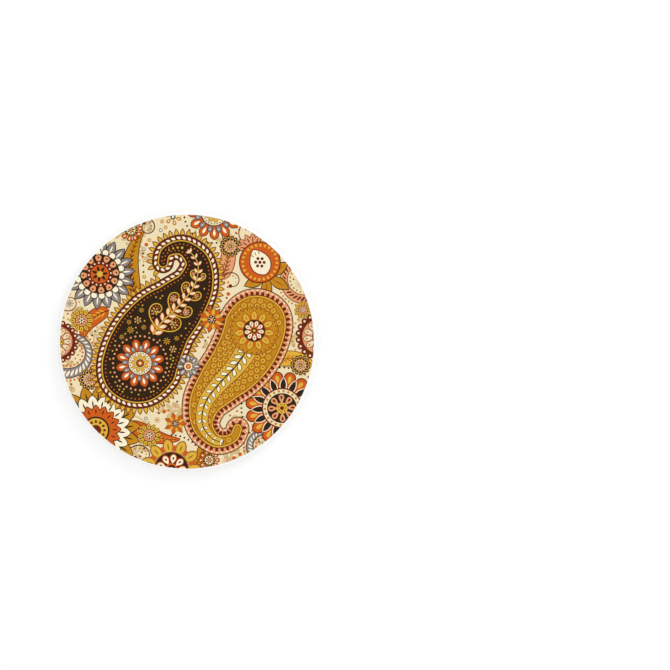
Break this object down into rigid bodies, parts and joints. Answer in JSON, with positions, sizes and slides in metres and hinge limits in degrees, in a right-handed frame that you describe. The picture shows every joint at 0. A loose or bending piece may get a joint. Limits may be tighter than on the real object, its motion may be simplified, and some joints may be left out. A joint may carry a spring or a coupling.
{
  "type": "drink coaster",
  "caption": "Round ceramic drink coaster with a printed, white-coated face and a cork pad glued to its underside.",
  "frame": {"origin": "centre of the cork pad's resting face, on the table", "axes": "+Z along the disc's axis, up through the printed face; X and Y lie in the table's plane, +Y the top of the print as pictured"},
  "size_m": [0.1, 0.1, 0.0075],
  "materials": {
    "bare_ceramic": "matte",
    "white_coating": "gloss",
    "print": "satin",
    "adhesive": "satin",
    "cork": "matte"
  },
  "bodies": {
    "root": {"ceramic_disc": "bare_ceramic", "white_coating": "white_coating", "printed_layer": "print", "adhesive_film": "adhesive", "cork_pad": "cork"}
  },
  "joints": []
}
